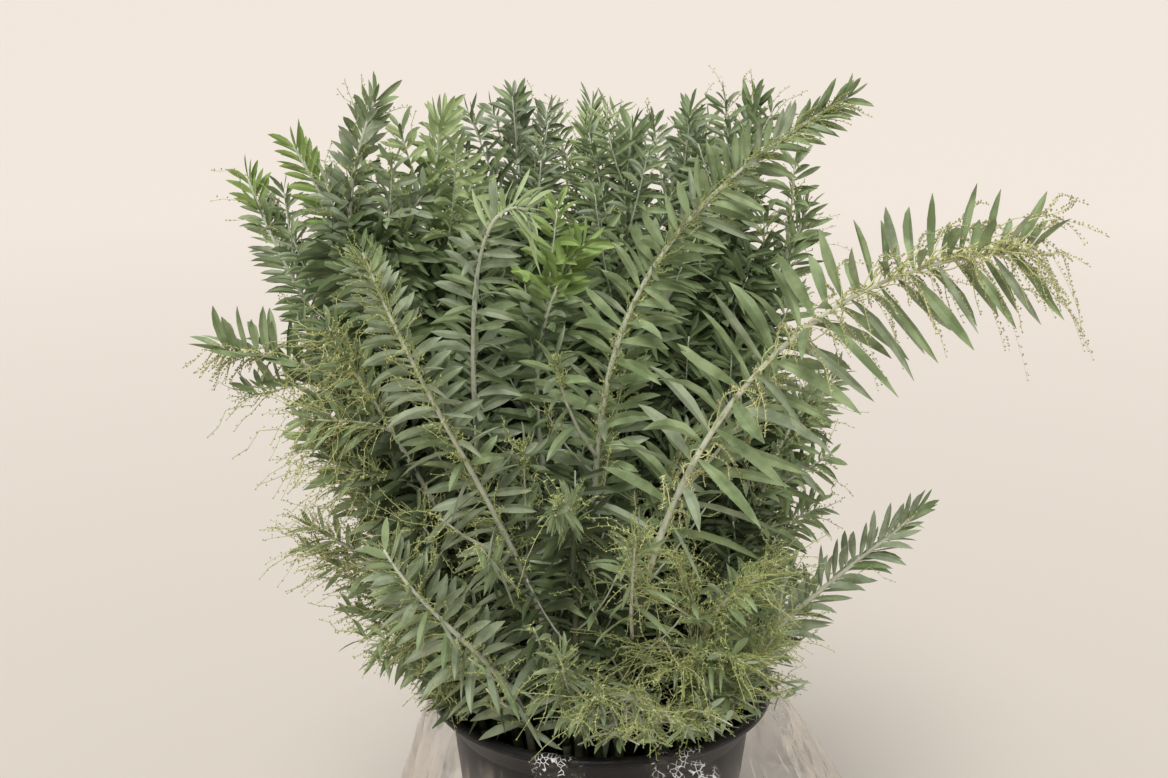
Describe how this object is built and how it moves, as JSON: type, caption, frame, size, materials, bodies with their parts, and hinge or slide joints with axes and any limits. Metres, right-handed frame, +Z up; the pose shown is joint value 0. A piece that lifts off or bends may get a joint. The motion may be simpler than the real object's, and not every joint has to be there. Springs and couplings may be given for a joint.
{
  "type": "cut silver wattle stems in a flower bucket",
  "caption": "Cut silver wattle stems with narrow grey-green leaves and fine bud sprays, standing in a black plastic flower bucket with a clear film sleeve folded down over its rim.",
  "frame": {"origin": "middle of the bucket's flat underside, on the surface it stands on", "axes": "+Z up; the side seen in the picture faces -Y; the longest spray reaches out to +X"},
  "size_m": [0.7115, 0.6229, 0.8866],
  "materials": {
    "bucket": "black moulded plastic, slightly shiny",
    "film": "clear crinkled plastic film",
    "stem": "green-grey young bark",
    "foliage": "grey-green leaves with a silvery bloom, and yellow-green buds"
  },
  "bodies": {
    "root": {"bucket": "bucket", "film_sleeve": "film", "stem_right_long": "stem", "stem_right_tall": "stem", "stem_front_left": "stem", "stem_low_left": "stem", "stem_left_inner": "stem", "stem_low_right": "stem", "stem_left_low": "stem", "stem_left_high": "stem", "stem_left_top": "stem", "stem_top_left_tall": "stem", "stem_top_centre_left": "stem", "stem_nodding": "stem", "stem_bright": "stem", "stem_centre_front": "stem", "stem_low_centre": "stem", "stem_low_right_front": "stem", "stem_right_mid": "stem", "stem_right_upper": "stem", "stem_left_mid": "stem", "stem_left_front": "stem", "stem_back_left": "stem", "stem_back_centre": "stem", "stem_back_inner": "stem", "stem_back_right": "stem", "stem_back_far_right": "stem", "stem_rear_1": "stem", "stem_rear_2": "stem", "stem_rear_3": "stem", "stem_rear_4": "stem", "foliage_right_long": "foliage", "foliage_right_tall": "foliage", "foliage_front_left": "foliage", "foliage_low_left": "foliage", "foliage_left_inner": "foliage", "foliage_low_right": "foliage", "foliage_left_low": "foliage", "foliage_left_high": "foliage", "foliage_left_top": "foliage", "foliage_top_left_tall": "foliage", "foliage_top_centre_left": "foliage", "foliage_nodding": "foliage", "foliage_bright": "foliage", "foliage_centre_front": "foliage", "foliage_low_centre": "foliage", "foliage_low_right_front": "foliage", "foliage_right_mid": "foliage", "foliage_right_upper": "foliage", "foliage_left_mid": "foliage", "foliage_left_front": "foliage", "foliage_back_left": "foliage", "foliage_back_centre": "foliage", "foliage_back_inner": "foliage", "foliage_back_right": "foliage", "foliage_back_far_right": "foliage", "foliage_rear_1": "foliage", "foliage_rear_2": "foliage", "foliage_rear_3": "foliage", "foliage_rear_4": "foliage"}
  },
  "joints": []
}
